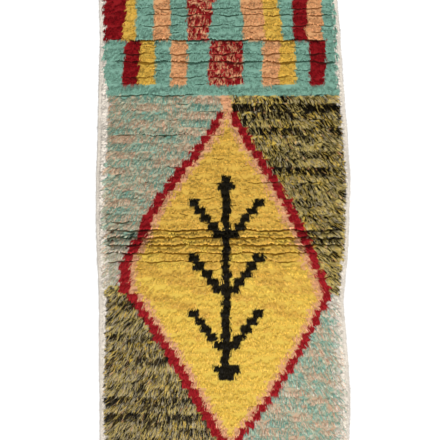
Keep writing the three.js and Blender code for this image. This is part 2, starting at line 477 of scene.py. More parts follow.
def shade_creases(tree, colour):
    """The colour with painted light on the lip above each open crease, painted half shade below it,
    and painted shade, deep and dark, inside the crease.
    """
    over, under, soft, lip = (
        add_node(tree, "Attribute", attribute_name=f"crease_{name}").outputs["Fac"]
        for name in ("over", "under", "soft", "lip")
    )
    # Each attribute is how many millimetres a place lies inside the edge of that effect
    reach = add_node(tree, "Math", {0: over, 1: under}, operation="MAXIMUM")
    inside = add_node(
        tree, "MapRange", {"Value": reach, "From Max": 1.8}, interpolation_type="SMOOTHSTEP"
    )
    # Painted half shade below an open crease, and painted light on the lip above it
    half = add_node(tree, "MapRange", {"Value": soft, "From Max": 9, "To Min": 1, "To Max": 0.5})
    bright = add_node(tree, "MapRange", {"Value": lip, "From Max": 3, "To Min": 1, "To Max": 1.35})
    shaded = add_node(tree, "Mix", {"Factor": 1, "A": colour, "B": half}, **TIMES)
    lit = add_node(tree, "Mix", {"Factor": 1, "A": shaded, "B": bright}, **TIMES)
    # Painted shade inside a crease, deeper in colour, as light that comes out of a crease has met
    # the wool many times
    deep = add_node(tree, "Gamma", {"Color": lit, "Gamma": 1.5})
    dark = add_node(tree, "Mix", {"Factor": 1, "A": deep, "B": (0.5, 0.5, 0.5, 1)}, **TIMES)
    return add_node(tree, "Mix", {"Factor": inside, "A": lit, "B": dark}, data_type="RGBA")


def finish_wool(tree, colour, height, bump_distance, sheen, specular=0.12):
    """The wool shader itself: matt, with the soft sheen of loose fibre in the wool's own colour."""
    bump = add_node(tree, "Bump", {"Strength": 0.5, "Distance": bump_distance, "Height": height})
    look = {
        "Base Color": colour,
        "Roughness": 0.92,
        "IOR": 1.54,
        "Specular IOR Level": specular,
        "Sheen Weight": 0.2,
        "Sheen Roughness": 0.6,
        "Sheen Tint": (*sheen, 1),
        "Normal": bump,
    }
    add_node(tree, "OutputMaterial", {"Surface": add_node(tree, "BsdfPrincipled", look)})


def dyed_wool(name, colour, deep, bright, pale, streak, specular):
    """Hand-spun, hand-dyed pile wool: uneven in its dye, streaked, and paler at the tips."""
    material, tree = new_material(name)
    tone = add_node(tree, "Attribute", attribute_name="tone").outputs["Fac"]
    yarn = add_node(tree, "UVMap", uv_map="yarn")
    # Fibres of about 0.5 mm are drawn, coarser than real ones, so that they show.
    stretch = add_node(tree, "Mapping", {"Vector": yarn, "Scale": (1.6, 0.12, 1)})
    fibre = add_node(tree, "TexNoise", {"Vector": stretch, "Scale": 1.2, "Detail": 3})
    mixed = add_node(tree, "Math", {0: fibre, 1: streak, 2: tone}, operation="MULTIPLY_ADD")
    ramp = add_node(tree, "ValToRGB", {"Fac": mixed})
    # The ramp's dark end is painted shade at the roots, and also the darkest streaks
    root, body, tip = 0, 0.72, 1
    stops = ramp.color_ramp.elements
    stops.new(body)
    shades = [c * deep for c in colour], colour, [min(1, c * bright + pale) for c in colour]
    for stop, place, shade in zip(stops, (root, body, tip), shades):
        stop.position = place
        stop.color = (*shade, 1)
    # Patches of about 6 mm, where the fleece took the dye unevenly
    place = add_node(tree, "TexCoord").outputs["Object"]
    patch = add_node(tree, "TexNoise", {"Vector": place, "Scale": 170, "Detail": 4})
    mottle = add_node(
        tree,
        "MapRange",
        {"Value": patch, "From Min": 0.3, "From Max": 0.7, "To Min": 0.72, "To Max": 1.3},
    )
    # Painted shade of fine wrinkles: thin darker lines where a stretched noise passes its middle
    # value, fewer towards -Y
    along = add_node(tree, "SeparateXYZ", {"Vector": place}).outputs["Y"]
    strength = add_node(
        tree,
        "MapRange",
        {"Value": along, "From Min": -0.3, "From Max": 0.1, "To Min": 0.94, "To Max": 0.48},
    )
    crumple = add_node(tree, "Mapping", {"Vector": place, "Scale": (30, 105, 30)})
    ripple = add_node(tree, "TexNoise", {"Vector": crumple, "Scale": 1, "Detail": 3})
    offset = add_node(tree, "Math", {0: ripple, 1: 0.5}, operation="SUBTRACT")
    distance = add_node(tree, "Math", {0: offset}, operation="ABSOLUTE")
    painted_wrinkle_shade = add_node(tree, "MapRange", {"Value": distance, "From Max": 0.05, "To Min": strength})
    worn = add_node(tree, "Mix", {"Factor": 1, "A": ramp, "B": mottle}, **TIMES)
    wrinkle_shaded = add_node(tree, "Mix", {"Factor": 1, "A": worn, "B": painted_wrinkle_shade}, **TIMES)
    finish_wool(tree, shade_creases(tree, wrinkle_shaded), fibre, 0.5 * MM, colour, specular)
    return material


def felted_bed():
    """The matted foot of the pile, between the locks: the same dyes, darker with painted shade,
    fuzzy and uneven.
    """
    material, tree = new_material("felted_wool_bed")
    dye = add_node(tree, "Attribute", attribute_name="dye")
    place = add_node(tree, "TexCoord").outputs["Object"]
    # Fuzz of about 2.4 mm, which darkens the bed unevenly by up to half, as painted shade between
    # the locks
    fuzz = add_node(tree, "TexNoise", {"Vector": place, "Scale": 420, "Detail": 4})
    shade = add_node(tree, "MapRange", {"Value": fuzz, "To Min": 0.55, "To Max": 1})
    uneven = add_node(tree, "Mix", {"Factor": 1, "A": dye, "B": shade}, **TIMES)
    finish_wool(tree, shade_creases(tree, uneven), fuzz, 1.5 * MM, (0.3, 0.25, 0.18), 0.05)
    return material


def undyed_weft(colour):
    """Hand-spun undyed wool weft, packed tight: matt ivory, with a faint twist and grey hairs."""
    material, tree = new_material("undyed_wool_weft")
    place = add_node(tree, "TexCoord").outputs["Object"]
    # Fibres of about 1 mm, and patches of soil of about 70 mm
    stretch = add_node(tree, "Mapping", {"Vector": place, "Scale": (0.35, 1, 1)})
    fibre = add_node(tree, "TexNoise", {"Vector": stretch, "Scale": 900, "Detail": 3})
    soil = add_node(tree, "TexNoise", {"Vector": place, "Scale": 14, "Detail": 3})
    both = add_node(tree, "Math", {0: fibre, 1: soil}, operation="MULTIPLY")
    ramp = add_node(tree, "ValToRGB", {"Fac": both})
    stops = ramp.color_ramp.elements
    stops[0].position, stops[0].color = 0.1, (*[c * 0.62 for c in colour], 1)
    stops[1].position, stops[1].color = 0.36, (*colour, 1)
    finish_wool(tree, ramp, fibre, 0.6 * MM, colour)
    return material


def knot_backs():
    """The back of the weave: each knot is two beads of its dye, between lines of ivory weft."""
    material, tree = new_material("knot_backs")
    dye = add_node(tree, "Attribute", attribute_name="dye")
    place = add_node(tree, "TexCoord").outputs["Object"]
    # One full turn of the wave is half a row of knots along the rug, and one knot across it.
    beads, warps = (
        add_node(
            tree,
            "TexWave",
            {"Vector": place, "Scale": scale, "Distortion": distortion},
            bands_direction=direction,
        ).outputs["Fac"]
        for direction, scale, distortion in (("Y", math.pi / (5 * ROW_PITCH), 0.6), ("X", 65, 0.8))
    )
    height = add_node(tree, "Math", {0: beads, 1: warps}, operation="MULTIPLY")
    # Painted shade: the dye is darker where the beads and the warps sink
    shade = add_node(tree, "MapRange", {"Value": height, "To Min": 0.45, "To Max": 1})
    shown = add_node(tree, "Mix", {"Factor": 1, "A": dye, "B": shade}, **TIMES)
    finish_wool(tree, shown, height, 1.2 * MM, (0.6, 0.5, 0.35))
    return material


def white_floor():
    """A matt white studio sheet."""
    material, tree = new_material("matt_white_sheet")
    sheet = add_node(tree, "BsdfPrincipled", {"Base Color": (0.9, 0.9, 0.9, 1), "Roughness": 0.95})
    add_node(tree, "OutputMaterial", {"Surface": sheet})
    return material


# Each dye: its material, its darkest shade as a share of the dye (painted shade at the roots, and
# its darkest streaks), how much brighter and how much paler its tips are, how strongly its fibres
# are streaked, and its specular level
DYES = {
    "red": ("madder_red_wool", 0.4, 1.5, 0.01, 0.2, 0.06),
    "rose": ("faded_madder_wool", 0.5, 1.1, 0.05, 0.2, 0.1),
    "teal": ("washed_teal_wool", 0.66, 1.0, 0.1, 0.2, 0.12),
    "gold": ("weld_gold_wool", 0.7, 1.03, 0.04, 0.2, 0.12),
    "apricot": ("apricot_wool", 0.66, 1.0, 0.08, 0.2, 0.12),
    "salmon": ("salmon_pink_wool", 0.65, 1.0, 0.1, 0.2, 0.12),
    "black": ("natural_black_wool", 0.5, 1.0, 0.02, 0.2, 0.02),
    "olive": ("khaki_wool", 0.14, 1.32, 0.03, 0.6, 0.08),
    "straw": ("weld_yellow_wool", 0.7, 1.03, 0.04, 0.2, 0.12),
    "umber": ("umber_wool", 0.4, 1.1, 0.02, 0.4, 0.06),
    "taupe": ("taupe_wool", 0.2, 1.2, 0.03, 0.55, 0.08),
    "peach": ("faded_apricot_wool", 0.66, 1.0, 0.08, 0.25, 0.12),
    "sage": ("sage_heather_wool", 0.66, 1.0, 0.08, 0.25, 0.12),
    "undyed": ("ivory_wool", 0.7, 1.0, 0.12, 0.2, 0.12),
}


def wool_of(dye):
    """The material of one dye, made the first time that it is asked for."""
    name, *finish = DYES[dye]
    if name not in bpy.data.materials:
        dyed_wool(name, tuple(getattr(bpy.context.scene.rug_dyes, dye)), *finish)
    return bpy.data.materials[name]


# The chart


def bars(rows, table, x, row):
    """Which bar of a row of blocks each place is in."""
    foot, head = rows
    down = np.clip((head - row) / (head - foot), 0, 1)
    found = np.zeros(x.shape, int)
    for _, at_head, at_foot in table[:-1]:
        found += x > (at_head + (at_foot - at_head) * down) * MM
    return np.array([dye for dye, _, _ in table])[found]


def is_tree(x, row):
    """Whether each place lies on the tree."""
    off = np.abs(x / MM - TREE_X)
    on = (row >= TREE_ROWS[0]) & (row <= TREE_ROWS[1]) & (off < TREE_STEM_HALF)
    for foot in TREE_ARM_FEET:
        up = row - foot
        middle = TREE_STEM_HALF + TREE_ARM_STEP * (up + 0.5)
        on |= (up >= 0) & (up <= TREE_ARM_ROWS) & (np.abs(off - middle) < TREE_ARM_HALF)
    for lowest, half_widths in TREE_ENDS:
        for up, half in enumerate(half_widths):
            on |= (row == lowest + up) & (off < half)
    return on


def flecked(draw, low, high, high_dye="teal"):
    """Sage wool, flecked with peach where the draw is low and with another dye where it is high."""
    return np.select([draw < low, draw > high], ["peach", high_dye], "sage")


def chart(x, row, draw, fine_draw, down=0.5):
    """The part of the design and the dye at each place.

    draw is the chance drawn for its tuft, fine_draw the one for its lock, and down is how far down
    its row it lies, all from 0 to 1."""
    # Neighbouring locks mingle a little where two dyes meet, and each row swells as it goes down
    x = x + (draw + fine_draw - 1) * MINGLE + ROW_SWELL * np.sin(2.1 * row + 2.5 * down)
    zone = np.full(x.shape, "end_band", dtype="U24")
    dye = np.full(x.shape, "teal", dtype="U10")

    # The border of blocks, and the plain band below it
    zone[row > TOP_FIELD_ROW] = "border"
    for rows, table in BLOCKS.items():
        inside = (row >= rows[0]) & (row <= rows[1])
        dye[inside] = bars(rows, table, x, row)[inside]
    marl = dye == "marl"
    dye[marl] = np.select([draw[marl] < 0.45, fine_draw[marl] < 0.5], ["red", "rose"], "salmon")

    # The lozenge's outline. The locks lie along it above the middle, and step across it below.
    table = np.array(LOZENGE, float)[::-1].T
    y = (row + 0.5 + np.where(row > 0, 0.9, 0.45) * (0.5 - down)) * ROW_PITCH / MM
    left, right, half_left, half_right = (np.interp(y, table[0], column) for column in table[1:])
    half_left, half_right = half_left + OUTLINE_SPREAD, half_right + OUTLINE_SPREAD
    across = x / MM
    is_left = across < (left + right) / 2

    # The two marled fields: dark yarn that gathers in some rows, with khaki and its neighbours
    dark_share = np.full(x.shape, USUAL_DARK)
    for dark_row, share in DARK_ROWS.items():
        dark_share[row == dark_row] = share
    dark_share += 0.17 * wander(1.3 * row, 0.5 * x)
    other_draw = fine_draw * 7 % 1
    taupe_share = np.where(row > RIGHT_CORNER_ROW, 0.25, 0.5)
    straw_from = 0.9 - 0.25 * wander(2.3 * row + 5, 0.4 * x)
    pale = np.select(
        [fine_draw > 0.99, other_draw < taupe_share, fine_draw > straw_from],
        ["apricot", "taupe", "straw"],
        "olive",
    )
    dark = np.where(fine_draw * 13 % 1 < taupe_share - 0.18, "umber", "black")
    marled = np.where(0.35 * draw + 0.65 * fine_draw < dark_share, dark, pale)

    # The two flecked fields: teal and apricot in streaks, greyer or paler in their lower parts
    streak = wander(1.3 * row + 2, 0.3 * x)
    heather = flecked(fine_draw, 0.28 + 0.55 * streak, 0.74 + 0.5 * streak)
    greyed = flecked(fine_draw, 0.2, 0.7, "undyed")
    blotch = 0.5 * wander(0.9 * row + 1, 0.7 * x)
    blotched = flecked(fine_draw, 0.34 + blotch, 0.7 + blotch)
    inset = edges_at(PILE_EDGES, y * MM)[1] - x
    paler = np.where(other_draw < np.clip(0.8 - inset / (50 * MM), 0.05, 0.7), "undyed", blotched)

    field = (row <= TOP_FIELD_ROW) & (row >= LOWEST_FIELD_ROW)
    upper = row > np.where(is_left, LEFT_CORNER_ROW, RIGHT_CORNER_ROW)
    for name, there, dyes in (
        ("upper_left_field", is_left & upper, np.where(row < 0, greyed, heather)),
        ("lower_left_field", is_left & ~upper, marled),
        ("upper_right_field", ~is_left & upper, marled),
        ("lower_right_field", ~is_left & ~upper, paler),
    ):
        zone[field & there], dye[field & there] = name, dyes[field & there]

    # The lozenge over them
    has_lozenge = field & (y > LOZENGE[-1][0] - 8)
    inner_left, inner_right = left + half_left, right - half_right
    inside = has_lozenge & (across > inner_left) & (across < inner_right) & (row < TIP_ROW)
    lining_width = LINING_WIDTH + LINING_MINGLE * (fine_draw - 0.5)
    lining = inside & (np.minimum(across - inner_left, inner_right - across) < lining_width)
    spike = field & (row >= TIP_ROW) & (np.abs(across - SPIKE_MIDDLE) < SPIKE_HALF_WIDTH)
    on_line = (np.abs(across - left) <= half_left) | (np.abs(across - right) <= half_right)
    outline = has_lozenge & (row < TIP_ROW) & on_line
    ground = inside & ~lining
    zone[ground] = np.where(row >= 0, "lozenge_upper", "lozenge_lower")[ground]
    drift = 0.5 + 0.6 * wander(0.8 * row + 3, 0.5 * x) + 0.3 * (fine_draw - 0.5)
    dye[ground] = np.where(drift < -0.06 * (row - 3), "straw", "gold")[ground]
    tree = ground & is_tree(x, row)
    for name, there, its_dye in (
        ("lozenge_lining", lining | spike, "salmon"),
        ("lozenge_outline", outline, "red"),
        ("tree", tree, "black"),
    ):
        zone[there], dye[there] = name, its_dye
    return zone, dye


# Building the meshes


def model_lock():
    """One lock of pile at the origin: it rises from its root, bends over and lies towards -Y.

    Its width, length and height are 1, so that each copy is scaled to its own."""
    bpy.ops.mesh.primitive_circle_add(
        vertices=3,
        radius=0.4,
        fill_type="NGON",
        location=(0, 0, 0.3),
        rotation=(math.pi / 2, 0, 0),
        scale=(1, 0.22, 1),
    )
    lock = newest("lock_pattern")
    bpy.ops.object.transform_apply()
    start_editing()
    # Each bend: how far on, how far up, and how much wider or narrower the lock is after it
    for onward, up, widen in ((0.2, 0.5, 1.25), (0.4, 0.2, 1.0)):
        extrude((0, -onward, up))
        bpy.ops.transform.resize(value=(widen, 1, 1))
    extrude((0, -0.4, -0.2))
    bpy.ops.mesh.merge(type="COLLAPSE")
    turn_outwards(lock, unwrap=True)
    return lock


def model_weft_turn():
    """One turn of weft over the right-hand selvedge, from its edge at x = 0 in to x = 21 mm."""
    bpy.ops.mesh.primitive_cylinder_add(
        vertices=6, radius=2.6 * MM, depth=1 * MM, rotation=(0, math.pi / 2, 0)
    )
    turn = newest("weft_turn_pattern")
    bpy.ops.object.transform_apply()
    # The start of the turn is tucked under the edge, and its path then leads inwards
    path = np.array(
        [(-0.7, 0.9), (-1.0, 2.2), (0.6, 3.9), (3.2, 4.5), (6.2, 4.4), (9.0, 3.3), (21.0, 3.1)]
    )
    # Only the end that faces inwards is selected
    mesh = turn.data
    start_editing("DESELECT")
    bpy.ops.object.mode_set(mode="OBJECT")
    mesh.vertices.foreach_set("select", [v.co.x > 0 for v in mesh.vertices])
    bpy.ops.object.mode_set(mode="EDIT")
    for _ in path[2:]:
        extrude((1 * MM, 0, 0))
    turn_outwards(turn, unwrap=True)
    # Each ring of the bar moves to its station on the path. It is flattened, as packed weft is.
    points = read_points(mesh)
    station = np.rint((points[:, 0] - points[:, 0].min()) / MM).astype(int)
    x, z = path[station].T * MM
    z = z + points[:, 2] * WEFT_FLATNESS
    write_points(mesh, np.stack([x, points[:, 1], np.maximum(z, 0.1 * MM)], 1))
    return turn


def model_hair():
    """One loose hair along +X, with a length of 1. Across, its points are in mm: 0.6 mm wide."""
    bpy.ops.mesh.primitive_cone_add(
        vertices=3,
        radius1=0.35,
        radius2=0,
        depth=1,
        location=(0.5, 0, 0),
        rotation=(0, math.pi / 2, 0),
    )
    hair = newest("hair_pattern")
    bpy.ops.object.transform_apply()
    turn_outwards(hair, unwrap=True)
    return hair


def as_arrays(piece):
    """A modelled piece as arrays: points, face corners, where each face starts, and its unwrap.

    The piece itself is then removed."""
    mesh = piece.data
    corners = np.empty(len(mesh.loops), int)
    mesh.loops.foreach_get("vertex_index", corners)
    starts = np.empty(len(mesh.polygons), int)
    mesh.polygons.foreach_get("loop_start", starts)
    unwrap = np.empty(len(mesh.loops) * 2)
    mesh.uv_layers.active.uv.foreach_get("vector", unwrap)
    arrays = read_points(mesh), corners, starts, unwrap.reshape(-1, 2)
    bpy.data.objects.remove(piece)
    return arrays


def join_copies(name, part, places, material, values, seed):
    """One mesh of many copies of a part.

    places holds each copy's points, already in place, and values a number for each, by name."""
    points, corners, starts, unwrap = part
    copies, size = places.shape[:2]
    mesh = bpy.data.meshes.new(name)
    mesh.vertices.add(copies * size)
    mesh.loops.add(copies * len(corners))
    mesh.polygons.add(copies * len(starts))
    steps = np.arange(copies)[:, None]
    mesh.vertices.foreach_set("co", places.astype(np.float32).ravel())
    mesh.loops.foreach_set("vertex_index", (corners + steps * size).ravel())
    mesh.polygons.foreach_set("loop_start", (starts + steps * len(corners)).ravel())
    mesh.update(calc_edges=True)
    mesh.shade_smooth()
    for key, value in values.items():
        put_attribute(mesh, key, "FLOAT", np.broadcast_to(value, places.shape[:2]))

    # Across and along the yarn, in millimetres, and shifted so that no two locks are streaked alike
    scale = np.array([4.6, 33.0])
    shift = np.random.RandomState(seed).rand(copies, 1, 2) * 400
    along = points[corners][:, [0, 1]] * scale + shift
    mesh.uv_layers.new(name="yarn").uv.foreach_set("vector", along.astype(np.float32).ravel())
    # Each copy has a square of its own on the map that the colours can be baked to
    side = math.ceil(math.sqrt(copies))
    square = np.stack([steps % side, steps // side], 2)
    spread = (square + 0.06 + 0.88 * unwrap) / side
    mesh.uv_layers.new(name="OFBake").uv.foreach_set("vector", spread.astype(np.float32).ravel())

    piece = bpy.data.objects.new(name, mesh)
    bpy.context.scene.collection.objects.link(piece)
    mesh.materials.append(material)
    return piece


def dye_colours(x, y, rng, ivory):
    """The dye at each point of a surface, as colours. ivory is how much undyed weft shows in it."""
    row = np.floor((y - row_shift(y / ROW_PITCH)) / ROW_PITCH)
    row = np.clip(row, -ROWS_EACH_WAY, ROWS_EACH_WAY - 1).astype(int)
    _, dye = chart(x, row, rng.rand(len(x)), rng.rand(len(x)))
    dyes = bpy.context.scene.rug_dyes
    undyed = np.array(tuple(dyes.undyed))
    colours = np.array([tuple(getattr(dyes, name)) for name in dye])
    colours = colours * (1 - ivory) + undyed * ivory
    left, right = edges_at(PILE_EDGES, y)
    bare = (x < left) | (x > right) | (np.abs(y) > ROWS_EACH_WAY * ROW_PITCH)
    colours[bare] = undyed
    return np.concatenate([colours, np.ones((len(x), 1))], 1)


def lay_wefts(points, rng, outward):
    """The turns of weft over one selvedge: their points and their tones."""
    pitch = bpy.context.scene.rug_sizes.weft_pitch
    count = int(LENGTH / pitch)
    y = ((np.arange(count) - (count - 1) / 2) * pitch)[:, None]
    edge, slab = side_at(GROUND_EDGES, y, outward), side_at(PILE_EDGES, y, outward)
    bare = np.abs(edge - slab) + 8 * MM
    # Points within the selvedge keep their distance from its edge, and the rest reach the pile
    inset = points[:, 0]
    reaching = SELVEDGE_WIDTH + (inset - SELVEDGE_WIDTH) * (bare - SELVEDGE_WIDTH) / (12 * MM)
    stretched = np.where(inset > SELVEDGE_WIDTH, reaching, inset)
    x = edge - outward * stretched + rng.normal(0, 0.35, (count, 1)) * MM
    sway = 0.5 * MM * np.sin(stretched / (7 * MM) + y / (31 * MM))
    across = points[:, 1] * rng.uniform(0.85, 1.12, (count, 1)) * outward * -1
    z = points[:, 2]
    z = np.where(z > GROUND_THICKNESS, z + rng.normal(0, 0.16, (count, 1)) * MM, z)
    return np.stack([x, y + across + sway, z], 2), 0.42 + rng.normal(0, 0.08, (count, 1))


def lay_hairs(points, rng, outward):
    """Loose hairs of undyed wool that stand out from one selvedge: their points and their tone."""
    size = (HAIRS, 1)
    y = rng.uniform(-0.5, 0.5, size) * (LENGTH - 30 * MM)
    edge = side_at(GROUND_EDGES, y, outward)
    turn = rng.normal(0, 0.55, size)
    length = bpy.context.scene.rug_sizes.hair_length * rng.uniform(0.3, 1, size) ** 1.3
    root = edge - outward * rng.uniform(0.5, 7, size) * MM
    on = points[:, 0] * length
    curl = points[:, 0] ** 2 * rng.normal(0, 3, size) * MM
    wide = points[:, 1] * MM
    x = root + outward * (on * np.cos(turn) + wide * np.sin(turn))
    y = y + outward * (on * np.sin(turn) - wide * np.cos(turn)) + curl
    lift = rng.uniform(1.2, 3.6, size) * MM
    z = lift + points[:, 2] * MM - np.minimum(on * 0.12, lift - 0.7 * MM)
    return np.stack([x, y, z], 2), 0.75


def lay_edge_locks(points, rng, outward):
    """Short matted locks of undyed wool that half cover one selvedge: their points and tones."""
    size = (EDGE_LOCKS, 1)
    share = -points[:, 1]
    y = rng.uniform(-0.48, 0.49, size) * LENGTH
    edge, slab = side_at(GROUND_EDGES, y, outward), side_at(PILE_EDGES, y, outward)
    root = slab - outward * rng.uniform(-4, 5, size) * MM
    reach = np.abs(edge - root) + rng.uniform(-7, 1.5, size) * MM
    turn = rng.normal(0.7, 0.4, size)
    on = share * np.maximum(reach, 8 * MM) / np.maximum(np.cos(turn), 0.5)
    curl = rng.normal(0, 1.6, size) * MM * np.sin(2 * math.pi * share)
    across = points[:, 0] * EDGE_LOCK_WIDTH + curl
    x = root + outward * (on * np.cos(turn) + across * np.sin(turn))
    y = y - on * np.sin(turn) + across * np.cos(turn)
    beyond = np.clip(outward * (x - slab) / (10 * MM), -0.5, 1)
    z = SELVEDGE_HEIGHT + (points[:, 2] - 0.3) * EDGE_LOCK_HEIGHT * (1 - 0.5 * beyond)
    return np.stack([x, y, z], 2), 0.55 + rng.normal(0, 0.1, size)


def lay_out_tufts(sizes):
    """Every lock of the pile: its row, root, lean, size, part of the design and dye, as arrays."""
    rng = np.random.RandomState(11)
    tufts = []
    for row in range(-ROWS_EACH_WAY, ROWS_EACH_WAY):
        y = (row + 0.5) * ROW_PITCH
        left, right = edges_at(PILE_EDGES, y)
        count = int((right - left - 6 * MM) / sizes.tuft_pitch)
        # A few more tufts at the very edges, so that they are well covered, and in the border round
        inset = (-3 if row > TOP_FIELD_ROW else 1) * MM
        extra = [left + inset, left + inset + 2 * MM, right - inset - 2 * MM, right - inset]
        x = np.concatenate([np.linspace(left + 3 * MM, right - 3 * MM, count), extra])
        tufts.append(np.stack([np.full(len(x), row), x, np.full(len(x), y)], 1))
    row, x, y = np.concatenate(tufts).T
    row = row.astype(int)
    count = len(x)
    x = x + rng.uniform(-0.9, 0.9, count) * MM
    left, right = edges_at(PILE_EDGES, y)
    side = (x - (left + right) / 2) / ((right - left) / 2)
    in_border = row > TOP_FIELD_ROW
    fan = FAN * np.select(
        [
            in_border,
            (row > LEFT_CORNER_ROW) & (side < 0),
            (row < LEFT_CORNER_ROW) & (side > 0),
            row < LEFT_CORNER_ROW,
        ],
        [BORDER_FAN, UPPER_LEFT_FAN, LOWER_RIGHT_FAN, LOWER_LEFT_FAN],
        1,
    )
    yaw = fan * np.sign(side) * np.abs(side) ** FAN_POWER
    upper_right = ease(x / (60 * MM)) * ease((y + 200 * MM) / (200 * MM)) * ~in_border
    yaw += UPPER_RIGHT_LEAN * upper_right * (1 - np.abs(side))
    yaw = yaw * np.where(in_border & (np.abs(side) > BORDER_RIM_FROM), BORDER_RIM_SHARE, 1)
    sway = SWAY_LEAN * np.sin(x / (31 * MM) + y / (22 * MM))
    yaw += rng.normal(0, UNEVEN_LEAN, count) + sway
    astray = rng.rand(count) < STRAYS
    yaw[astray] += rng.normal(0, STRAY_LEAN, astray.sum())
    at_rim = ease((np.abs(side) - RIM_FROM) / (1 - RIM_FROM)) * ~in_border
    yaw += RIM_LEAN * np.sign(side) * at_rim
    spread = np.select([np.abs(side) > 0.985, row <= LEFT_CORNER_ROW], [25, 20], 16)
    start = rng.uniform(-1, spread, count) * MM
    draw = rng.rand(count)

    # Each tuft is a few locks side by side
    even = np.full(count, 0.5)
    zone, _ = chart(x + 0.5 * sizes.lock_length * np.sin(yaw), row, even, even)
    each = np.array([FIELD_LOCKS.get(name, LOCKS) for name in zone])
    n = each.sum()
    uneven = np.where(each > LOCKS, 0.08, 0.05)
    tone = np.repeat(rng.normal(0, 0.05, count), each)
    tone += rng.normal(0, 1, n) * np.repeat(uneven, each)
    ragged = np.repeat(rng.normal(0, 1.8, count), each) * MM
    place = np.arange(n) - np.repeat(np.cumsum(each) - each, each)
    row, x, yaw, start, draw = (np.repeat(value, each) for value in (row, x, yaw, start, draw))
    each = np.repeat(each, each)
    x = x + ((place + 0.5) / each - 0.5) * 1.2 * sizes.tuft_pitch + rng.uniform(-0.7, 0.7, n) * MM
    # The colour is looked up where the lock is seen, not where its root is
    seen_x = x + 0.5 * sizes.lock_length * np.sin(yaw)
    zone, dye = chart(seen_x, row, draw, rng.rand(n), (start + 0.5 * ROW_PITCH) / ROW_PITCH - 0.25)
    loose = zone == "lower_left_field"
    overlap = rng.uniform(-2, np.where(loose, 18, 8), n) * MM
    pitch = ROW_PITCH + row_shift(row + 1) - row_shift(row)
    length = np.maximum(pitch - start + overlap, 0.5 * sizes.lock_length) / np.cos(yaw)
    outline = 0.15 + 0.2 * (row < 0)
    washed = np.where(dye == "undyed", 0, 0.6)
    brighter = np.select(
        [zone == "lower_right_field", zone == "lozenge_outline", zone == "upper_left_field", loose],
        [washed, outline, 0.15, 0.12],
        0,
    )
    return {
        "row": row,
        "x": x,
        "yaw": yaw + rng.normal(0, math.radians(5), n),
        "start": start + rng.uniform(-1.5, 1.5, n) * MM,
        "zone": zone,
        "dye": dye,
        "tone": tone + 0.08 * wander(row + 4.4, 0.4 * x) + brighter,
        "ragged": ragged,
        "length": np.minimum(length, 1.3 * sizes.lock_length),
        "width": sizes.lock_width * rng.uniform(0.8, 1.2, n) * (LOCKS / each) ** 0.8,
        "height": sizes.lock_height * rng.uniform(0.94, 1.05, n),
        "curl": rng.normal(0, 1.5, n) * np.where((each > LOCKS) & ~loose, 0.5, 1) * MM,
        "bend": rng.normal(0, 2.2, n) * MM,
        "lift": rng.normal(0, 0.3, n) * MM,
    }


def lay_locks(part, tufts, chosen):
    """The points of the chosen locks, laid on the rug."""
    points = part[0]
    row, yaw, length, width, height, curl, bend, lift, ragged = (
        tufts[key][chosen][:, None]
        for key in ("row", "yaw", "length", "width", "height", "curl", "bend", "lift", "ragged")
    )
    root_x = tufts["x"][chosen][:, None]
    root_y = row_line(row + 1, root_x) - tufts["start"][chosen][:, None]

    # A lock reaches over its own share of the selvedge's width, and not past the pile's end
    left, right = edges_at(PILE_EDGES, root_y)
    web_left, web_right = edges_at(GROUND_EDGES, root_y)
    uneven = 0.8 + 0.3 * ((root_x * 9173) % 1)
    over_left, over_right = (np.interp(row, *zip(*cover)) for cover in (LEFT_COVER, RIGHT_COVER))
    room = np.where(
        yaw > 0,
        right + uneven * over_right * (web_right - right) - root_x,
        root_x - left + uneven * over_left * (left - web_left),
    )
    sideways = np.maximum(np.abs(np.sin(yaw)), 1e-3)
    length = np.minimum(length, np.maximum(room, LEAST_ROOM) / sideways)
    length = np.clip(length, SHORTEST_LOCK, root_y + END_REACH)

    share = -points[:, 1]
    wave = np.sin(2 * math.pi * share)
    on = share * length
    across = points[:, 0] * width + bend * share**2 + curl * wave
    x = root_x + on * np.sin(yaw) + across * np.cos(yaw)
    y = root_y - on * np.cos(yaw) + across * np.sin(yaw)

    # A lock that meets an open crease is turned down into it
    foot_line, head_line = row_line(row, x), row_line(row + 1, x)
    depth = open_depth(row, x)
    closed = 1 - np.clip(depth / FULL_CREASE, 0, 1)
    past = np.maximum(foot_line + ragged - y, 0)
    y = y + past * (1 - closed) * TUCK
    up = points[:, 2] * height * rim_share(x, y)
    z = PILE_FOOT + up + lift * wave + crown(x, y, row) * np.clip(points[:, 2], 0, 1)
    z = z - np.minimum(past * (1 - closed), depth)
    # Below an open crease, the surface is low and rises again
    above = open_depth(row + 1, x)
    down = np.clip((head_line - y) / RECOVERY, 0, 1)
    z = z - BELOW_SHARE * above * (1 - down) ** 2 * np.clip(points[:, 2], 0, 1)
    z = np.maximum(z, PILE_FOOT + 0.2 * MM)
    # Painted shade in open creases, painted half shade below them, and painted light on the lips
    # above them: how many millimetres each point lies inside each
    to_foot, to_head = np.abs(y - foot_line), np.abs(head_line - y)
    uneven_edge = 1 + 0.7 * wander(5.1 * row, 2.3 * x)
    creases = {
        "crease_over": (SHADE_OVER * depth - to_foot) / MM,
        "crease_under": (SHADE_UNDER * above * uneven_edge - to_head) / MM,
        "crease_soft": (SOFT_SHADE * above - to_head) / MM,
        "crease_lip": (LIT_LIP * depth - to_foot) / MM,
    }
    return np.stack([x, y, z], 2), creases


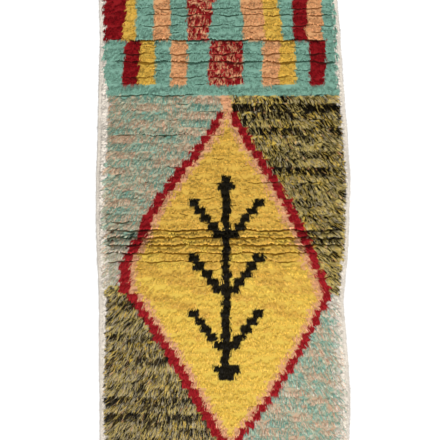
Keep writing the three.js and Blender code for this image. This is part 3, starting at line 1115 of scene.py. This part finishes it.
class RUG_OT_weave_ground(bpy.types.Operator):
    """Weave the ground cloth, with the knots' backs on its underside"""

    bl_idname = "rug.weave_ground"
    bl_label = "Weave Ground"

    def execute(self, context):
        columns, rows = CLOTH_COLUMNS, 4 * ROWS_EACH_WAY + 3
        bpy.ops.mesh.primitive_grid_add(x_subdivisions=columns, y_subdivisions=rows, size=1)
        cloth = newest("ground_cloth")
        mesh = cloth.data
        points = read_points(mesh)
        y = points[:, 1] * LENGTH
        left, right = edges_at(GROUND_EDGES, y)
        # The outer columns are close together, to carry the selvedge
        column = np.rint((points[:, 0] + 0.5) * columns)
        outer = len(COLUMN_INSETS) - 1
        place = np.minimum(column, columns - column)
        inset, z = (
            np.interp(place, range(outer + 1), at) for at in (COLUMN_INSETS, COLUMN_HEIGHTS)
        )
        share = np.clip((column - outer) / (columns - 2 * outer), 0, 1)
        x = left + inset + share * (right - left - 2 * COLUMN_INSETS[-1])
        x = np.where(column > columns - outer, right - inset, x)
        write_points(mesh, np.stack([x, y, z], 1))
        # The underside is flat
        start_editing()
        extrude((0, 0, -GROUND_THICKNESS))
        bpy.ops.object.mode_set(mode="OBJECT")
        points = read_points(mesh)
        points[len(x) :, 2] = 0
        write_points(mesh, points)
        turn_outwards(cloth)

        rng = np.random.RandomState(3)
        colours = dye_colours(points[:, 0], points[:, 1], rng, 0.35)
        put_attribute(mesh, "dye", "FLOAT_COLOR", colours)
        mesh.materials.append(undyed_weft(tuple(context.scene.rug_dyes.undyed)))
        mesh.materials.append(knot_backs())
        for face in mesh.polygons:
            face.material_index = 1 if face.normal.z < -0.5 else 0
        bpy.ops.object.shade_smooth_by_angle(angle=math.radians(50))
        belongs(cloth, "ground_weave")
        return {"FINISHED"}


class RUG_OT_wrap_selvedges(bpy.types.Operator):
    """Wrap the weft turns round both selvedges, with their loose hairs"""

    bl_idname = "rug.wrap_selvedges"
    bl_label = "Wrap Selvedges"

    def execute(self, context):
        weft, ivory = bpy.data.materials["undyed_wool_weft"], wool_of("undyed")
        for name, model, lay, material, layout_seed, yarn_seed in (
            ("selvedge_wefts_{}", model_weft_turn, lay_wefts, weft, 7, 17),
            ("selvedge_hairs_{}", model_hair, lay_hairs, ivory, 23, 31),
            ("edge_locks_{}_undyed", model_lock, lay_edge_locks, ivory, 29, 41),
        ):
            part = as_arrays(model())
            rng = np.random.RandomState(layout_seed)
            for side, outward in (("left", -1), ("right", 1)):
                places, tone = lay(part[0], rng, outward)
                seed = yarn_seed + outward
                piece = join_copies(name.format(side), part, places, material, {"tone": tone}, seed)
                belongs(piece, "ground_weave")
        return {"FINISHED"}


class RUG_OT_felt_bed(bpy.types.Operator):
    """Lay the matted foot of the pile, which shows between the locks"""

    bl_idname = "rug.felt_bed"
    bl_label = "Felt Bed"

    def execute(self, context):
        lines = 2 * ROWS_EACH_WAY * len(BED_LINES)
        bpy.ops.mesh.primitive_grid_add(x_subdivisions=BED_COLUMNS, y_subdivisions=lines, size=1)
        bed = newest("pile_bed")
        mesh = bed.data
        points = read_points(mesh)
        line = np.rint((points[:, 1] + 0.5) * lines).astype(int)
        row = (line + 1) // len(BED_LINES) - ROWS_EACH_WAY
        part_way, crease_share = BED_LINES[line % len(BED_LINES)].T
        y = row * ROW_PITCH + part_way
        left, right = edges_at(PILE_EDGES, y)
        x = left + (points[:, 0] + 0.5) * (right - left)
        follows = (np.abs(row) < ROWS_EACH_WAY) & (crease_share > 0)
        y = np.where(follows, row_line(row, x) + part_way, y)
        crease = open_depth(row, x)
        even = np.full(x.shape, 0.5)
        zone, _ = chart(x, np.floor(y / ROW_PITCH).astype(int), even, even)
        height = np.where(np.isin(zone, list(FIELD_LOCKS)), OPEN_BED_HEIGHT, BED_HEIGHT)
        z = PILE_FOOT + height * rim_share(x, y) + BED_CROWN * crown(x, y, row)
        z = np.maximum(z - crease * crease_share, PILE_FOOT + 0.8 * MM)
        write_points(mesh, np.stack([x, y, z], 1))
        rng = np.random.RandomState(5)
        put_attribute(mesh, "dye", "FLOAT_COLOR", dye_colours(x, y + 1 * MM, rng, 0))
        # Painted shade in and below each open crease: how many millimetres each point lies inside
        # it
        off = y - row_line(row, x)
        share = np.where(off > 0, SHADE_OVER, SHADE_UNDER)
        put_attribute(mesh, "crease_over", "FLOAT", (share * crease - np.abs(off)) / MM)

        # The wall down to the ground, and the underside
        start_editing("DESELECT")
        bpy.ops.mesh.select_mode(type="EDGE")
        bpy.ops.mesh.select_non_manifold()
        bpy.ops.mesh.extrude_edges_move(TRANSFORM_OT_translate={"value": (0, 0, -4 * MM)})
        bpy.ops.mesh.edge_face_add()
        bpy.ops.mesh.select_mode(type="VERT")
        bpy.ops.object.mode_set(mode="OBJECT")
        points = read_points(mesh)
        points[len(x) :, 2] = PILE_FOOT
        write_points(mesh, points)
        turn_outwards(bed)
        bpy.ops.object.shade_smooth_by_angle(angle=math.radians(60))
        mesh.materials.append(felted_bed())
        belongs(bed, "pile")
        return {"FINISHED"}


class RUG_OT_knot_pile(bpy.types.Operator):
    """Lay every lock of the pile, one piece for each part of the design and each dye in it"""

    bl_idname = "rug.knot_pile"
    bl_label = "Knot Pile"

    def execute(self, context):
        sizes = context.scene.rug_sizes
        part = as_arrays(model_lock())
        tufts = lay_out_tufts(sizes)
        groups = sorted(set(zip(tufts["zone"], tufts["dye"])))
        for number, (zone, dye) in enumerate(groups):
            chosen = (tufts["zone"] == zone) & (tufts["dye"] == dye)
            places, creases = lay_locks(part, tufts, chosen)
            # Painted shade darkens each lock towards its root, down among the others; it is paler
            # at the tip, and a little paler towards the plain end
            along = -part[0][:, 1]
            tone = 0.43 + 0.3 * np.clip(along * 1.4, 0, 1) + tufts["tone"][chosen][:, None]
            tone = tone - 0.35 * places[:, :, 1] / LENGTH
            values = {"tone": tone, **creases}
            name = f"{zone}_{dye}_locks"
            piece = join_copies(name, part, places, wool_of(dye), values, 100 + number)
            belongs(piece, "pile")
        return {"FINISHED"}


class RUG_OT_declare_cloth(bpy.types.Operator):
    bl_idname = "rug.declare_cloth"
    bl_label = "Declare Cloth"

    def execute(self, context):
        return {"FINISHED"}


class RUG_OT_set_stage(bpy.types.Operator):
    """Set the floor, the soft lights and the camera over the rug"""

    bl_idname = "rug.set_stage"
    bl_label = "Set Stage"

    def execute(self, context):
        studio = context.scene.rug_studio
        bpy.ops.mesh.primitive_plane_add(size=60, location=(0, 0, -0.2 * MM))
        floor = newest("floor")
        floor.data.materials.append(white_floor())

        world = bpy.data.worlds.new("even_white_sky")
        world.use_nodes = True
        sky = world.node_tree.nodes["Background"].inputs
        sky["Color"].default_value = (1, 1, 1, 1)
        sky["Strength"].default_value = studio.sky
        context.scene.world = world

        bpy.ops.object.light_add(type="SUN", location=(-1, -1.5, 3))
        key = newest("soft_key")
        key.rotation_euler = (math.radians(40), math.radians(20), 0)
        key.data.energy = studio.key
        key.data.angle = math.radians(16)

        above = (*FRAME_MIDDLE, PILE_HIGH.z + studio.camera_height)
        bpy.ops.object.camera_add(location=above, rotation=(0, 0, 0))
        camera = newest("camera")
        camera.data.sensor_width = SENSOR
        camera.data.lens = SENSOR * studio.camera_height / studio.seen_width
        camera.data.clip_end = 50
        context.scene.camera = camera
        context.scene.view_settings.view_transform = "Standard"
        return {"FINISHED"}


class RUG_PT_panel(bpy.types.Panel):
    """Every step of making the rug, in order"""

    bl_label = "Runner Rug"
    bl_space_type = "VIEW_3D"
    bl_region_type = "UI"
    bl_category = "Rug"

    def draw(self, context):
        column = self.layout.column(align=True)
        for step in STEPS:
            column.operator(step.bl_idname)
        for group in (context.scene.rug_sizes, context.scene.rug_dyes, context.scene.rug_studio):
            for key in group.bl_rna.properties.keys():
                if key not in ("rna_type", "name"):
                    self.layout.prop(group, key)


STEPS = (
    RUG_OT_set_stage,
    RUG_OT_weave_ground,
    RUG_OT_wrap_selvedges,
    RUG_OT_felt_bed,
    RUG_OT_knot_pile,
    RUG_OT_declare_cloth,
)
GROUPS = (("rug_sizes", RugSizes), ("rug_dyes", RugDyes), ("rug_studio", StudioSettings))


def register():
    """Adds the rug's settings, operators and panel to Blender."""
    for name, group in GROUPS:
        bpy.utils.register_class(group)
        setattr(bpy.types.Scene, name, bpy.props.PointerProperty(type=group))
    for step in (*STEPS, RUG_PT_panel):
        bpy.utils.register_class(step)


def unregister():
    """Removes them again."""
    for step in (RUG_PT_panel, *reversed(STEPS)):
        bpy.utils.unregister_class(step)
    for name, group in reversed(GROUPS):
        delattr(bpy.types.Scene, name)
        bpy.utils.unregister_class(group)


def main():
    """Makes the whole rug."""
    register()
    bpy.ops.object.select_all(action="DESELECT")
    for step in STEPS:
        family, name = step.bl_idname.split(".")
        getattr(getattr(bpy.ops, family), name)()


if __name__ == "__main__":
    main()
